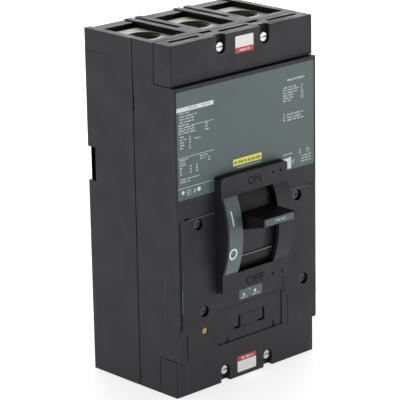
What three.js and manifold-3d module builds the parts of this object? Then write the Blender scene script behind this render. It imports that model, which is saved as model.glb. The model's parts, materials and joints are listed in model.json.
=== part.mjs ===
// Molded case circuit breaker, three pole, 400 A frame size.
// Millimetres, +Z up. The origin is the centre of the rear mounting face and the front faces -Y.
// "Depth" is the distance in front of the mounting face, so a depth d lies at Y = -d.
// Left is -X, the line end is the top (+Z) and the load end is the bottom (-Z).
import * as THREE from "three";
import { mergeVertices } from "three/addons/utils/BufferGeometryUtils.js";
import Module from "manifold-3d";

const wasm = await Module();
wasm.setup();

// ---- Driving dimensions ----

const CASE_WIDTH = 152.4;
const CASE_HEIGHT = 279.4;
const HALF_WIDTH = CASE_WIDTH / 2;
const HALF_HEIGHT = CASE_HEIGHT / 2;
const FRONT_HALF_WIDTH = 75.4; // the case sides draw in towards the front
const GAP = 0.3; // clearance between pieces that touch

const BASE_DEPTH = 54.2; // seam of base and main cover
const SEAM_GROOVE = { width: 1.1, depth: 0.9 }; // along both sides of that seam
const SHELF_DEPTH = 78; // the main cover is only this deep under the end covers
const END_COVER_FRONT = 97.2;
const COVER_FRONT = 101.2;
const COVER_TOP = 107.6; // ends of the proud part of the main cover
const COVER_BOTTOM = -109.5;
const END_COVER_GAP = 0.6;
const CORNER_RADIUS = 1;
const EDGE_RADIUS = 0.8;
const END_STEP_Z = 122.3; // the case is a little narrower past this height
const END_STEP = 0.4;

const POLES = { a: -52, b: 0, c: 52 };
const POLE_NAMES = Object.keys(POLES);
const POLE_PITCH = POLES.c;
const CHANNEL_HALF = 17.5; // half the width of a pole channel
const CHANNEL_FLOOR = 12;
const DEEP_FLOOR = 6; // floor under the mechanism
const CHAMBER_END = 91; // barrier between chamber and terminal pocket
const POCKET_START = 96;
const POCKET_FRONT = 71;
const REAR_RIM_DROP = 1;
const RIB_X = POLE_PITCH / 2; // middle of the wall between two poles
const RIB_SLOT_HALF = 2.3;
const RIB_SLOT_Z = 126;
const SIDE_NOTCH = { width: 3.6, depth: 9.3, z: [18, 45.6] };

const PIVOT = { depth: 36, z: -15.7 }; // axis of the handle
const SURROUND_HALF = 35.8; // handle escutcheon
const SURROUND_FRONT = 108.2;
const SURROUND_Z = [-62.5, 31.4];
const SURROUND_CORNER = 2.5;
const SURROUND_SEAT = 0.8; // how far it sits into the main cover
const SURROUND_WALL = 3;
const CHEEK_RADIUS = 78.8;
const CHEEK_WALL = 3.2;
const WINDOW_HALF = 19.8;
const WINDOW_Z = [-47.7, 15.7];

const HANDLE_ANGLE = 7.4; // degrees above level at rest, the tripped position
const HANDLE_HALF = 17;
const HANDLE_TIP = 99.9; // from the pivot
const APRON_RADIUS = 74.6;
const APRON_HALF = 23;
const APRON_SPAN = 42.5;
const APRON_THICKNESS = 2;

const BAR = { depth: 30, z: -40 }; // axis of the contact crossbar
const BAR_OPENING = 7.45; // degrees that the contacts stand open at rest
const ARM_REACH = 62;
const CONTACT_Z = BAR.z + ARM_REACH - 2;

const TRIP_BAR = { depth: 58, z: -72 };
const TRIP_BUTTON = { x: -48.7, z: -89.8 };
const BUTTON_WALL = 76; // inside of the cover behind the push-to-trip button
const BUTTON_SEAT = 80; // seat of its return spring
const BUTTON_COLLAR = [94, 96.6]; // where the spring pushes on the button
const BUTTON_REAR = 75; // 1 mm short of the paddle of the trip bar
const BUTTON_SUNK = 0.6; // tip of the button below the cover
const PADDLE_ROOM = { x: [TRIP_BUTTON.x - 5.5, TRIP_BUTTON.x + 5.5], z: [-94.5, -60] };

const END_SCREW = { x: 23.4, z: 130.3, notch: 4.8 };
const MOUNT_HOLE = { x: RIB_X, z: 117, radius: 3.4, seat: 5.9, access: 6.2 };
const CASE_SCREW = { radius: 4.3, depth: 3, z: [-98, 20, 85] }; // recesses in the back of the base
const LABEL_X = [-74.2, 72.5];
const LABEL_Z = [20.4, 104.7];

// ---- Materials ----

function finish(colour, roughness, metalness = 0) {
  return new THREE.MeshStandardMaterial({ color: colour, roughness, metalness });
}
const caseBlack = () => finish(0x434346, 0.62);
const innerBlack = () => finish(0x2b2b2d, 0.6);
const labelGrey = () => finish(0x5f6c6c, 0.45);
const zinc = () => finish(0xd2d3d0, 0.3, 0.9);
const blackSteel = () => finish(0x1c1c1e, 0.42, 0.6);
const plainSteel = () => finish(0x9c9e9f, 0.38, 0.9);
const tinnedAluminium = () => finish(0xb9b7ac, 0.45, 0.85);
const copper = () => finish(0xb4683c, 0.35, 0.95);
const brass = () => finish(0xd9b23a, 0.3, 0.6);

// ---- Solids ----

const range = (a, b) => [Math.min(a, b), Math.max(a, b)];

function toSolid(geometry) {
  geometry.deleteAttribute("normal");
  geometry.deleteAttribute("uv");
  const merged = mergeVertices(geometry, 1e-4);
  const vertProperties = new Float32Array(merged.attributes.position.array);
  const triVerts = new Uint32Array(merged.index.array);
  return new wasm.Manifold(new wasm.Mesh({ numProp: 3, vertProperties, triVerts }));
}

function toMesh(name, solid, material) {
  const { vertProperties, triVerts } = solid.getMesh();
  const geometry = new THREE.BufferGeometry();
  geometry.setAttribute("position", new THREE.BufferAttribute(new Float32Array(vertProperties), 3));
  geometry.setIndex(new THREE.BufferAttribute(new Uint32Array(triVerts), 1));
  const flat = geometry.toNonIndexed();
  flat.computeVertexNormals();
  const mesh = new THREE.Mesh(flat, material);
  mesh.name = name;
  return mesh;
}

const join = (solids) => solids.reduce((whole, piece) => whole.add(piece));
const cut = (solid, tools) => tools.reduce((whole, tool) => whole.subtract(tool), solid);

// A box given by its ranges of x, depth and z.
function block(x, depth, z) {
  const [x0, x1] = range(...x);
  const [d0, d1] = range(...depth);
  const [z0, z1] = range(...z);
  const box = new THREE.BoxGeometry(x1 - x0, d1 - d0, z1 - z0);
  return toSolid(box.translate((x0 + x1) / 2, -(d0 + d1) / 2, (z0 + z1) / 2));
}

function extrude(shape, length, axes, origin, segments) {
  const options = { depth: length, bevelEnabled: false, curveSegments: segments };
  const place = new THREE.Matrix4().makeBasis(...axes).setPosition(...origin);
  return toSolid(new THREE.ExtrudeGeometry(shape, options).applyMatrix4(place));
}

const AXIS = {
  right: new THREE.Vector3(1, 0, 0),
  left: new THREE.Vector3(-1, 0, 0),
  front: new THREE.Vector3(0, -1, 0),
  up: new THREE.Vector3(0, 0, 1),
  down: new THREE.Vector3(0, 0, -1),
};

// Outline in (depth, z), from x0 to x1.
function prismX(shape, [x0, x1], segments = 16) {
  return extrude(shape, x1 - x0, [AXIS.front, AXIS.up, AXIS.left], [x1, 0, 0], segments);
}

// Outline in (x, z), from depth d0 to d1.
function prismDepth(shape, [d0, d1], segments = 16) {
  return extrude(shape, d1 - d0, [AXIS.right, AXIS.up, AXIS.front], [0, -d0, 0], segments);
}

// Outline in (x, depth), from z0 to z1.
function prismZ(shape, [z0, z1], segments = 6) {
  return extrude(shape, z1 - z0, [AXIS.right, AXIS.front, AXIS.down], [0, 0, z1], segments);
}

const outline = (points) => new THREE.Shape(points.map(([u, v]) => new THREE.Vector2(u, v)));

function disc(u, v, radius, sides = 16, turn = 0) {
  const corner = (i) => turn + (i * 2 * Math.PI) / sides;
  const at = (angle) => [u + radius * Math.cos(angle), v + radius * Math.sin(angle)];
  return outline(Array.from({ length: sides }, (_, i) => at(corner(i))));
}

function ringBand(centre, inner, outer, from, to) {
  const shape = new THREE.Shape();
  const start = THREE.MathUtils.degToRad(from);
  const end = THREE.MathUtils.degToRad(to);
  shape.absarc(centre.depth, centre.z, outer, start, end, false);
  shape.absarc(centre.depth, centre.z, inner, end, start, true);
  return shape;
}

// A point at a distance and an angle above level from the handle axis, as [depth, z].
function fromPivot(distance, degrees, across = 0) {
  const angle = THREE.MathUtils.degToRad(degrees);
  const along = [Math.cos(angle), Math.sin(angle)];
  return [
    PIVOT.depth + distance * along[0] - across * along[1],
    PIVOT.z + distance * along[1] + across * along[0],
  ];
}

// ---- Case ----

// The section of the case across its height, drawn in towards the front.
function caseSection(front, frontRadius) {
  const draw = (HALF_WIDTH - FRONT_HALF_WIDTH) / COVER_FRONT;
  const side = (depth) => HALF_WIDTH - draw * depth;
  const shape = new THREE.Shape();
  const r = CORNER_RADIUS;
  shape.moveTo(-side(r), r);
  shape.absarc(-HALF_WIDTH + r, r, r, Math.PI, 1.5 * Math.PI, false);
  shape.absarc(HALF_WIDTH - r, r, r, 1.5 * Math.PI, 2 * Math.PI, false);
  if (frontRadius > 0) {
    const f = frontRadius;
    shape.absarc(side(front) - f, front - f, f, 0, 0.5 * Math.PI, false);
    shape.absarc(-side(front) + f, front - f, f, 0.5 * Math.PI, Math.PI, false);
  } else {
    shape.lineTo(side(front), front);
    shape.lineTo(-side(front), front);
  }
  return shape;
}

const caseEnvelope = (front, radius = 0) =>
  prismZ(caseSection(front, radius), [-HALF_HEIGHT, HALF_HEIGHT]);

function endSteps() {
  const sides = [-1, 1].map((side) => [side * (HALF_WIDTH - END_STEP), side * (HALF_WIDTH + 1)]);
  const ends = [-1, 1].map((end) => [end * END_STEP_Z, end * (HALF_HEIGHT + 1)]);
  return sides.flatMap((x) => ends.map((z) => block(x, [-1, SHELF_DEPTH], z)));
}

// A hole bored straight back from the front.
const bore = (x, z, radius, depths, sides = 16) => prismDepth(disc(x, z, radius, sides), depths);

function baseCuts() {
  const front = BASE_DEPTH + 1;
  const tools = endSteps();
  for (const x of Object.values(POLES)) {
    const channel = [x - CHANNEL_HALF, x + CHANNEL_HALF];
    for (const end of [-1, 1]) {
      const pocket = [end * POCKET_START, end * (HALF_HEIGHT + 1)];
      const lowRim = [end * (HALF_HEIGHT - REAR_RIM_DROP), end * (HALF_HEIGHT + 1)];
      tools.push(block(channel, [CHANNEL_FLOOR, front], pocket));
      tools.push(block(channel, [-1, front], lowRim));
      tools.push(block([x - 12, x + 12], [CHANNEL_FLOOR, 18], [end * 90, end * (POCKET_START + 1)]));
    }
    tools.push(block(channel, [CHANNEL_FLOOR, front], [8, CHAMBER_END]));
    tools.push(block(channel, [DEEP_FLOOR, front], [-56, 10]));
    tools.push(block(channel, [CHANNEL_FLOOR, front], [-CHAMBER_END, -54]));
  }
  tools.push(block(PADDLE_ROOM.x, [TRIP_BAR.depth - 10, front], PADDLE_ROOM.z));
  const across = [-POLE_PITCH, POLE_PITCH];
  tools.push(block(across, [16, front], [BAR.z - 14, BAR.z + 14]));
  tools.push(block(across, [48, front], [TRIP_BAR.z - 12, TRIP_BAR.z + 12]));
  for (const side of [-1, 1]) {
    const slot = [side * RIB_X - RIB_SLOT_HALF, side * RIB_X + RIB_SLOT_HALF];
    for (const end of [-1, 1]) {
      tools.push(block(slot, [-1, front], [end * RIB_SLOT_Z, end * (HALF_HEIGHT + 1)]));
      const hole = [side * MOUNT_HOLE.x, end * MOUNT_HOLE.z];
      tools.push(bore(...hole, MOUNT_HOLE.radius, [-1, front]));
      tools.push(bore(...hole, MOUNT_HOLE.seat, [BASE_DEPTH - 1, front]));
    }
    for (const z of CASE_SCREW.z) {
      tools.push(bore(side * RIB_X, z, CASE_SCREW.radius, [-1, CASE_SCREW.depth]));
    }
    const notch = [side * (HALF_WIDTH - SIDE_NOTCH.width), side * (HALF_WIDTH + 1)];
    tools.push(block(notch, [-1, SIDE_NOTCH.depth], SIDE_NOTCH.z));
  }
  return tools;
}

const baseCase = () => cut(caseEnvelope(BASE_DEPTH), baseCuts());

// The main cover from the side: proud in the middle, a shelf for each end cover.
function coverProfile() {
  const rear = BASE_DEPTH + GAP;
  return outline([
    [rear, -HALF_HEIGHT],
    [SHELF_DEPTH, -HALF_HEIGHT],
    [SHELF_DEPTH, COVER_BOTTOM],
    [COVER_FRONT, COVER_BOTTOM],
    [COVER_FRONT, COVER_TOP],
    [SHELF_DEPTH, COVER_TOP],
    [SHELF_DEPTH, HALF_HEIGHT],
    [rear, HALF_HEIGHT],
  ]);
}

const ACCESSORY_THICKNESS = 5.6;
const ACCESSORY_PROUD = 0.3;
const ACCESSORY_DEPTH = COVER_FRONT - ACCESSORY_THICKNESS;
const ACCESSORY = {
  // Outlines in (x, z), without clearance.
  left: [
    [-72.3, 3.9],
    [-37, 3.9],
    [-37, -75.5],
    [-40.6, -82.9],
    [-72.3, -82.9],
  ],
  right: [
    [37.3, 3.9],
    [72.3, 3.9],
    [72.3, -84.2],
    [55, -84.2],
    [55, -107.9],
    [42.2, -107.9],
    [42.2, -84.2],
    [37.3, -75.4],
  ],
};
// Shallow steps along both sides of the lower front.
const STEP_DROP = 0.5;
const SIDE_STEPS = [
  { from: 72.6, z: [-83.2, 4.2] },
  { from: 66.5, z: [COVER_BOTTOM - 1, -88.5] },
];
const PRY_SLOT = { x: [-68.4, -62.7], z: [3.4, 5.2] }; // beside the left accessory cover
const ACCESSORY_SCREWS = {
  upper_left: [-53.9, -2.2],
  lower_left: [-48.8, -73.6],
  upper_right: [53.8, -2.2],
  lower_right: [60.6, -73.6],
};
const ACCESSORY_RECESS = { radius: 4.5, floor: COVER_FRONT - 4.9 };
const ADJUSTER_X = [-35.4, 35.2];
const ADJUSTER_Z = [-105.6, -77.4];
const ADJUSTER_GAP = 0.5;

// Moves the corners of a polygon outwards (or inwards) by scaling about its middle.
function grown(points, margin) {
  const box = new THREE.Box2().setFromPoints(points.map(([u, v]) => new THREE.Vector2(u, v)));
  const middle = box.getCenter(new THREE.Vector2());
  const size = box.getSize(new THREE.Vector2());
  const scale = [1 + (2 * margin) / size.x, 1 + (2 * margin) / size.y];
  return points.map(([u, v]) => [
    middle.x + (u - middle.x) * scale[0],
    middle.y + (v - middle.y) * scale[1],
  ]);
}

function widened([low, high], margin) {
  return [low - margin, high + margin];
}

function coverCuts() {
  const rear = BASE_DEPTH - 1;
  const out = COVER_FRONT + 1;
  const tools = endSteps();
  for (const x of Object.values(POLES)) {
    const channel = [x - CHANNEL_HALF, x + CHANNEL_HALF];
    tools.push(block(channel, [rear, 90], [8, CHAMBER_END]));
    tools.push(block(channel, [rear, 90], [-80, 10]));
    tools.push(block(channel, [rear, BUTTON_WALL], [-CHAMBER_END, -79]));
    for (const end of [-1, 1]) {
      tools.push(block(channel, [rear, POCKET_FRONT], [end * POCKET_START, end * (HALF_HEIGHT + 1)]));
      tools.push(bore(x, end * 118, 6.5, [POCKET_FRONT - 1, SHELF_DEPTH + 1]));
    }
  }
  // Room for the mechanism, the apron of the handle, and the trip bar.
  tools.push(block([-31, 31], [rear, 97.6], [-84, 54]));
  tools.push(block([-POLE_PITCH, POLE_PITCH], [rear, 70], [TRIP_BAR.z - 12, TRIP_BAR.z + 12]));
  const opening = [SURROUND_HALF - 3.2, SURROUND_Z[0] + 2.3, SURROUND_Z[1] - 2.4];
  tools.push(block([-opening[0], opening[0]], [90, out], [opening[1], opening[2]]));
  const seatX = widened([-SURROUND_HALF, SURROUND_HALF], GAP);
  tools.push(block(seatX, [COVER_FRONT - SURROUND_SEAT, out], widened(SURROUND_Z, GAP)));
  // Recesses for the plates on the front.
  tools.push(block(widened(LABEL_X, 0.2), [COVER_FRONT - 0.5, out], widened(LABEL_Z, 0.2)));
  const accessoryFloor = ACCESSORY_DEPTH - GAP;
  for (const points of Object.values(ACCESSORY)) {
    tools.push(prismDepth(outline(grown(points, GAP)), [accessoryFloor, out]));
  }
  for (const [x, z] of Object.values(ACCESSORY_SCREWS)) {
    tools.push(bore(x, z, 2.4, [88, out], 12));
  }
  tools.push(block(PRY_SLOT.x, [accessoryFloor, out], PRY_SLOT.z));
  const adjusterZ = widened(ADJUSTER_Z, ADJUSTER_GAP);
  tools.push(block(widened(ADJUSTER_X, ADJUSTER_GAP), [COVER_FRONT - 3.3, out], adjusterZ));
  tools.push(bore(TRIP_BUTTON.x, TRIP_BUTTON.z, 2.7, [70, out]));
  tools.push(bore(TRIP_BUTTON.x, TRIP_BUTTON.z, 3, [COVER_FRONT - 2, out]));
  tools.push(bore(TRIP_BUTTON.x, TRIP_BUTTON.z, 4.8, [BUTTON_SEAT, 97]));
  tools.push(block(PADDLE_ROOM.x, [rear, BUTTON_WALL], PADDLE_ROOM.z));
  for (const side of [-1, 1]) {
    for (const step of SIDE_STEPS) {
      const beyond = FRONT_HALF_WIDTH + 4;
      tools.push(block([side * step.from, side * beyond], [COVER_FRONT - STEP_DROP, out], step.z));
    }
    // The groove that marks the seam of the case.
    const grooveX = [side * (HALF_WIDTH - SEAM_GROOVE.depth - 0.4), side * (HALF_WIDTH + 1)];
    const grooveZ = [-HALF_HEIGHT - 1, HALF_HEIGHT + 1];
    tools.push(block(grooveX, [rear, BASE_DEPTH + SEAM_GROOVE.width], grooveZ));
    for (const end of [-1, 1]) {
      const screwX = side * END_SCREW.x;
      tools.push(bore(screwX, end * END_SCREW.z, 2.2, [SHELF_DEPTH - 14, SHELF_DEPTH + 1], 12));
      const access = [rear, SHELF_DEPTH + 1];
      tools.push(bore(side * MOUNT_HOLE.x, end * MOUNT_HOLE.z, MOUNT_HOLE.access, access));
    }
  }
  // A snap slot in the seam on the left.
  tools.push(block([-HALF_WIDTH - 1, -HALF_WIDTH + 2.5], [rear, BASE_DEPTH + 1.8], [82.5, 96]));
  return tools;
}

function mainCover() {
  const body = caseEnvelope(COVER_FRONT, EDGE_RADIUS).intersect(
    prismX(coverProfile(), [-HALF_WIDTH - 1, HALF_WIDTH + 1]),
  );
  return cut(body, coverCuts());
}

// end is 1 for the line end and -1 for the load end.
function endCover(end) {
  const inner = end > 0 ? COVER_TOP + END_COVER_GAP : COVER_BOTTOM - END_COVER_GAP;
  const rear = SHELF_DEPTH + END_COVER_GAP;
  const slab = block([-80, 80], [rear, END_COVER_FRONT], [inner, end * HALF_HEIGHT]);
  const body = caseEnvelope(END_COVER_FRONT, 1).intersect(slab);
  const tools = [];
  const open = end * (HALF_HEIGHT + 1);
  for (const x of Object.values(POLES)) {
    tools.push(block([x - 15, x + 16], [84.2, 88.2], [end * 114, open]));
  }
  for (const side of [-1, 1]) {
    const x = side * END_SCREW.x;
    const z = end * END_SCREW.z;
    const barX = side > 0 ? [20.5, 31.5] : [-29.5, -18.5];
    tools.push(block(barX, [rear - 1, 83.2], [end * 134, open]));
    const { notch } = END_SCREW;
    tools.push(bore(x, z, notch, [END_COVER_FRONT - 4.8, END_COVER_FRONT + 1], 20));
    tools.push(block([x - notch, x + notch], [END_COVER_FRONT - 4.8, END_COVER_FRONT + 1], [z, open]));
    tools.push(bore(x, z, 2.6, [rear - 1, END_COVER_FRONT], 12));
  }
  return cut(body, tools);
}

// ---- Front pieces ----

function surroundOutline(front, radius, z, rear) {
  const reach = Math.sqrt(radius ** 2 - (front - PIVOT.depth) ** 2);
  const half = Math.atan2(reach, front - PIVOT.depth);
  const shape = new THREE.Shape();
  shape.moveTo(rear, z[0]);
  shape.lineTo(front, z[0]);
  shape.absarc(PIVOT.depth, PIVOT.z, radius, -half, half, false);
  shape.lineTo(front, z[1]);
  shape.lineTo(rear, z[1]);
  return shape;
}

const GAUGE_HOLES = [
  [20, 25.3],
  [28.6, 25.4],
  [18.7, -57.7],
  [29.5, -57.9],
];

function handleSurround() {
  const rear = COVER_FRONT - SURROUND_SEAT + 0.1;
  const wall = SURROUND_WALL;
  const whole = [-SURROUND_HALF, SURROUND_HALF];
  const side = prismX(surroundOutline(SURROUND_FRONT, CHEEK_RADIUS, SURROUND_Z, rear), whole, 28);
  const face = prismDepth(roundedRect(whole, SURROUND_Z, SURROUND_CORNER), [rear, 130], 5);
  const outer = side.intersect(face);
  const innerZ = [SURROUND_Z[0] + wall, SURROUND_Z[1] - wall];
  const innerRadius = CHEEK_RADIUS - CHEEK_WALL;
  const innerShape = surroundOutline(SURROUND_FRONT - wall, innerRadius, innerZ, rear - 1);
  const hollow = prismX(innerShape, [-SURROUND_HALF + wall, SURROUND_HALF - wall], 28);
  const middle = [-WINDOW_HALF, WINDOW_HALF];
  const tools = [
    hollow,
    block(middle, [rear - 1, 130], WINDOW_Z),
    block(middle, [SURROUND_FRONT, 130], SURROUND_Z), // the bulge is on the cheeks only
  ];
  for (const [x, z] of GAUGE_HOLES) tools.push(bore(x, z, 1.1, [SURROUND_FRONT - 2, 110], 8));
  return cut(outer, tools);
}

// The label strip that lies on the left cheek.
function positionStrip() {
  const band = ringBand(PIVOT, CHEEK_RADIUS + 0.05, CHEEK_RADIUS + 0.35, -22.6, 23.2);
  return prismX(band, [-SURROUND_HALF + 1.4, -WINDOW_HALF - 0.15], 28);
}

function faceplate() {
  const depths = [COVER_FRONT - 0.45, COVER_FRONT + 0.15];
  const sheet = prismDepth(roundedRect(LABEL_X, LABEL_Z, 1), depths, 4);
  const notchX = widened([-SURROUND_HALF, SURROUND_HALF], 0.4);
  const notch = block(notchX, [90, 120], [0, SURROUND_Z[1] + 0.4]);
  return sheet.subtract(notch);
}

function roundedRect([u0, u1], [v0, v1], r) {
  const shape = new THREE.Shape();
  shape.absarc(u1 - r, v0 + r, r, -Math.PI / 2, 0, false);
  shape.absarc(u1 - r, v1 - r, r, 0, Math.PI / 2, false);
  shape.absarc(u0 + r, v1 - r, r, Math.PI / 2, Math.PI, false);
  shape.absarc(u0 + r, v0 + r, r, Math.PI, 1.5 * Math.PI, false);
  return shape;
}

function accessoryCover(side) {
  const front = COVER_FRONT + ACCESSORY_PROUD;
  const plate = prismDepth(outline(ACCESSORY[side]), [ACCESSORY_DEPTH, front]);
  const tools = [];
  const recess = [ACCESSORY_RECESS.floor, front + 1];
  for (const [name, [x, z]] of Object.entries(ACCESSORY_SCREWS)) {
    if (!name.endsWith(side)) continue;
    tools.push(bore(x, z, ACCESSORY_RECESS.radius, recess, 24));
    tools.push(bore(x, z, 2.6, [ACCESSORY_DEPTH - 1, front], 12));
  }
  return cut(plate, tools);
}

const POINTER = { x: [-11, 15.6], top: -86.5, bottom: -96.9, half: 1.1, foot: 6.4 };

function adjusterPlate() {
  const rear = COVER_FRONT - 2.9;
  const front = COVER_FRONT - 0.6;
  const plate = block(ADJUSTER_X, [rear, front], ADJUSTER_Z);
  const through = [rear - 1, COVER_FRONT];
  const tools = [];
  // Two pointer windows, each a slot with a foot to the left.
  const { top, bottom, half, foot } = POINTER;
  for (const x of POINTER.x) {
    tools.push(block([x - half, x + half], through, [bottom, top]));
    tools.push(block([x - foot, x + half], through, [bottom, bottom + 1.7]));
  }
  // Fine grooves that join the windows, and two small notches in the lower edge.
  const [first, second] = POINTER.x;
  const groove = [front - 0.4, COVER_FRONT];
  tools.push(block([first + half, second - half], groove, [top - 0.5, top]));
  tools.push(block([first + half, second - foot], groove, [bottom, bottom + 0.5]));
  for (const x of [-25, 26]) {
    tools.push(block([x - 1.6, x + 1.6], [front - 0.9, COVER_FRONT], [ADJUSTER_Z[0] - 1, -101.3]));
  }
  return cut(plate, tools);
}

// A screw along the depth axis with a socket in its head, head at the front.
function screw(x, z, { headFront, headHeight, headRadius, shankRadius, shankRear, socket }) {
  const head = bore(x, z, headRadius, [headFront - headHeight, headFront], 20);
  const shank = bore(x, z, shankRadius, [shankRear, headFront - headHeight / 2], 10);
  return head.add(shank).subtract(socket(x, z, headFront));
}

function hexSocket(radius, depth) {
  return (x, z, front) => bore(x, z, radius, [front - depth, front + 1], 6);
}

function slotSocket(length, width, depth) {
  return (x, z, front) =>
    block([x - length / 2, x + length / 2], [front - depth, front + 1], [z - width / 2, z + width / 2]);
}

function crossSocket(length, width, depth) {
  return (x, z, front) => {
    const level = slotSocket(length, width, depth)(x, z, front);
    return level.add(slotSocket(width, length, depth)(x, z, front));
  };
}

const ACCESSORY_SCREW = {
  headFront: COVER_FRONT - 1.9,
  headHeight: 2.9,
  headRadius: 3.4,
  shankRadius: 2,
  shankRear: 90,
  socket: crossSocket(4.2, 1.1, 0.8),
};
const END_COVER_SCREW = {
  headFront: END_COVER_FRONT - 1.8,
  headHeight: 2.8,
  headRadius: 3.5,
  shankRadius: 1.9,
  shankRear: SHELF_DEPTH - 12,
  socket: slotSocket(9, 1.2, 1.4),
};
const LUG_SCREW = {
  headFront: 68.5,
  headHeight: 12,
  headRadius: 5.6,
  shankRadius: 4.2,
  shankRear: 52,
  socket: hexSocket(3, 6),
};

function tripButton() {
  const { x, z } = TRIP_BUTTON;
  const front = COVER_FRONT - BUTTON_SUNK;
  const pin = bore(x, z, 2.3, [BUTTON_REAR, front], 16);
  const collar = bore(x, z, 4.2, BUTTON_COLLAR, 16);
  const tip = bore(x, z, 2.6, [front - 1, front], 16);
  return join([pin, collar, tip]);
}

// A coil spring as a ribbed sleeve, one rib for each turn, from one (x, depth, z) to another.
function springSleeve(from, to, inner, outer, turns) {
  const start = new THREE.Vector3(from[0], -from[1], from[2]);
  const end = new THREE.Vector3(to[0], -to[1], to[2]);
  const step = start.distanceTo(end) / turns;
  const root = (inner + outer) / 2;
  const points = [new THREE.Vector2(inner, 0)];
  for (let i = 0; i < turns; i += 1) {
    points.push(new THREE.Vector2(root, i * step));
    points.push(new THREE.Vector2(outer, (i + 0.5) * step));
  }
  points.push(new THREE.Vector2(root, turns * step));
  points.push(new THREE.Vector2(inner, turns * step));
  points.push(new THREE.Vector2(inner, 0));
  const along = end.clone().sub(start).normalize();
  const turn = new THREE.Quaternion().setFromUnitVectors(new THREE.Vector3(0, 1, 0), along);
  const place = new THREE.Matrix4().compose(start, turn, new THREE.Vector3(1, 1, 1));
  return toSolid(new THREE.LatheGeometry(points, 10).applyMatrix4(place));
}

function buttonSpring() {
  const { x, z } = TRIP_BUTTON;
  return springSleeve([x, BUTTON_SEAT + GAP, z], [x, BUTTON_COLLAR[0] - GAP, z], 2.6, 4.3, 5);
}

// ---- Handle ----

function handleGrip() {
  const root = 73.5; // inside the thickness of the apron
  const [rootHalf, tipHalf] = [6.6, 3.3];
  const at = (distance, across) => fromPivot(distance, HANDLE_ANGLE, across);
  const wedge = outline([
    at(root, -rootHalf),
    at(HANDLE_TIP - 0.8, -tipHalf),
    at(HANDLE_TIP, -tipHalf + 0.8),
    at(HANDLE_TIP, tipHalf - 0.8),
    at(HANDLE_TIP - 0.8, tipHalf),
    at(root, rootHalf),
  ]);
  return prismX(wedge, [-HANDLE_HALF, HANDLE_HALF]);
}

const TIP_RECESS = 0.7;
const TIP_INSERT_HALF = [15.6, 2.5];

// A box in the handle's own directions: along the grip from the pivot, and across it.
function handleBlock(x, along, across) {
  const corner = (distance, offset) => fromPivot(distance, HANDLE_ANGLE, offset);
  return prismX(
    outline([
      corner(along[0], across[0]),
      corner(along[1], across[0]),
      corner(along[1], across[1]),
      corner(along[0], across[1]),
    ]),
    x,
  );
}

function toggleHandle() {
  const low = HANDLE_ANGLE - APRON_SPAN;
  const high = HANDLE_ANGLE + APRON_SPAN;
  const inner = APRON_RADIUS - APRON_THICKNESS;
  const apron = prismX(ringBand(PIVOT, inner, APRON_RADIUS, low, high), [-APRON_HALF, APRON_HALF], 30);
  // Lowered bands above and below the grip; under it a pad is left at full height.
  const band = (from, to, x, depth) => {
    const angles = [HANDLE_ANGLE + from, HANDLE_ANGLE + to];
    return prismX(ringBand(PIVOT, APRON_RADIUS - depth, APRON_RADIUS + depth, ...angles), x, 12);
  };
  const across = [-APRON_HALF - 1, APRON_HALF + 1];
  const pad = band(-17.6, 0, [-18, 8.6], 1.8);
  const steps = [band(2, 9.4, across, 0.9), band(-22, -2, across, 0.9).subtract(pad)];
  const [tipX, tipAcross] = [TIP_INSERT_HALF[0] + 0.2, TIP_INSERT_HALF[1] + 0.15];
  const tipAlong = [HANDLE_TIP - TIP_RECESS, HANDLE_TIP + 1];
  const tipPocket = handleBlock([-tipX, tipX], tipAlong, [-tipAcross, tipAcross]);
  const body = cut(apron, steps).add(handleGrip());
  const yokeSlot = handleBlock([-14, 14], [70, 73 + GAP], [-5, 5]);
  return cut(body, [tipPocket, yokeSlot]);
}

function ratingInsert() {
  const [half, across] = TIP_INSERT_HALF;
  return handleBlock([-half, half], [HANDLE_TIP - TIP_RECESS + 0.1, HANDLE_TIP], [-across, across]);
}

const YOKE_X = [15, 17];

// A steel U: a bar behind the grip and two legs down to the handle axis.
function handleYoke() {
  const bar = handleBlock([-YOKE_X[1], YOKE_X[1]], [64, 72.4], [-4.4, 4.4]);
  const legs = [-1, 1].flatMap((side) => {
    const x = range(side * YOKE_X[0], side * YOKE_X[1]);
    return [handleBlock(x, [0, 66], [-4, 4]), prismX(disc(PIVOT.depth, PIVOT.z, 6, 16), x)];
  });
  const boss = handleBlock([-13.6, 13.6], [72, 73 + GAP / 2], [-4, 4]);
  const pivot = disc(PIVOT.depth, PIVOT.z, 2.5, 12);
  const pins = [-1, 1].map((side) => prismX(pivot, range(side * 12.4, side * 15.5)));
  return join([bar, boss, ...legs, ...pins]);
}

// From the knee pin towards the bar of the yoke.
function driveSpring(side) {
  const [d1, z1] = fromPivot(62.8, HANDLE_ANGLE);
  const x = side * 9.2;
  const share = 5 / Math.hypot(d1 - KNEE[0], z1 - KNEE[1]);
  const start = [x, KNEE[0] + (d1 - KNEE[0]) * share, KNEE[1] + (z1 - KNEE[1]) * share];
  return springSleeve(start, [x, d1, z1], 1.2, 2.3, 7);
}

// ---- Mechanism ----

const FRAME_X = [12, 14];
const CRADLE_PIVOT = [62, -52];
const LINK_TOP = [65, -21]; // upper pin of the toggle, on the cradle
const CRANK = [10, 12]; // crank pin from the crossbar axis, contacts closed
const LINK_LENGTH = 13.4; // both toggle links, between centres
const PIN_RADIUS = 2;
const UPPER_LINK_X = [2.5, 4.3];
const LOWER_LINK_X = [4.9, 6.5];
const CRANK_EAR_X = [7.1, 10.8];
const CRANK_EAR_RADIUS = 4.8;
const JAW_REACH = 2.5; // how far the jaw of the lower link goes past the knee pin

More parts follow.
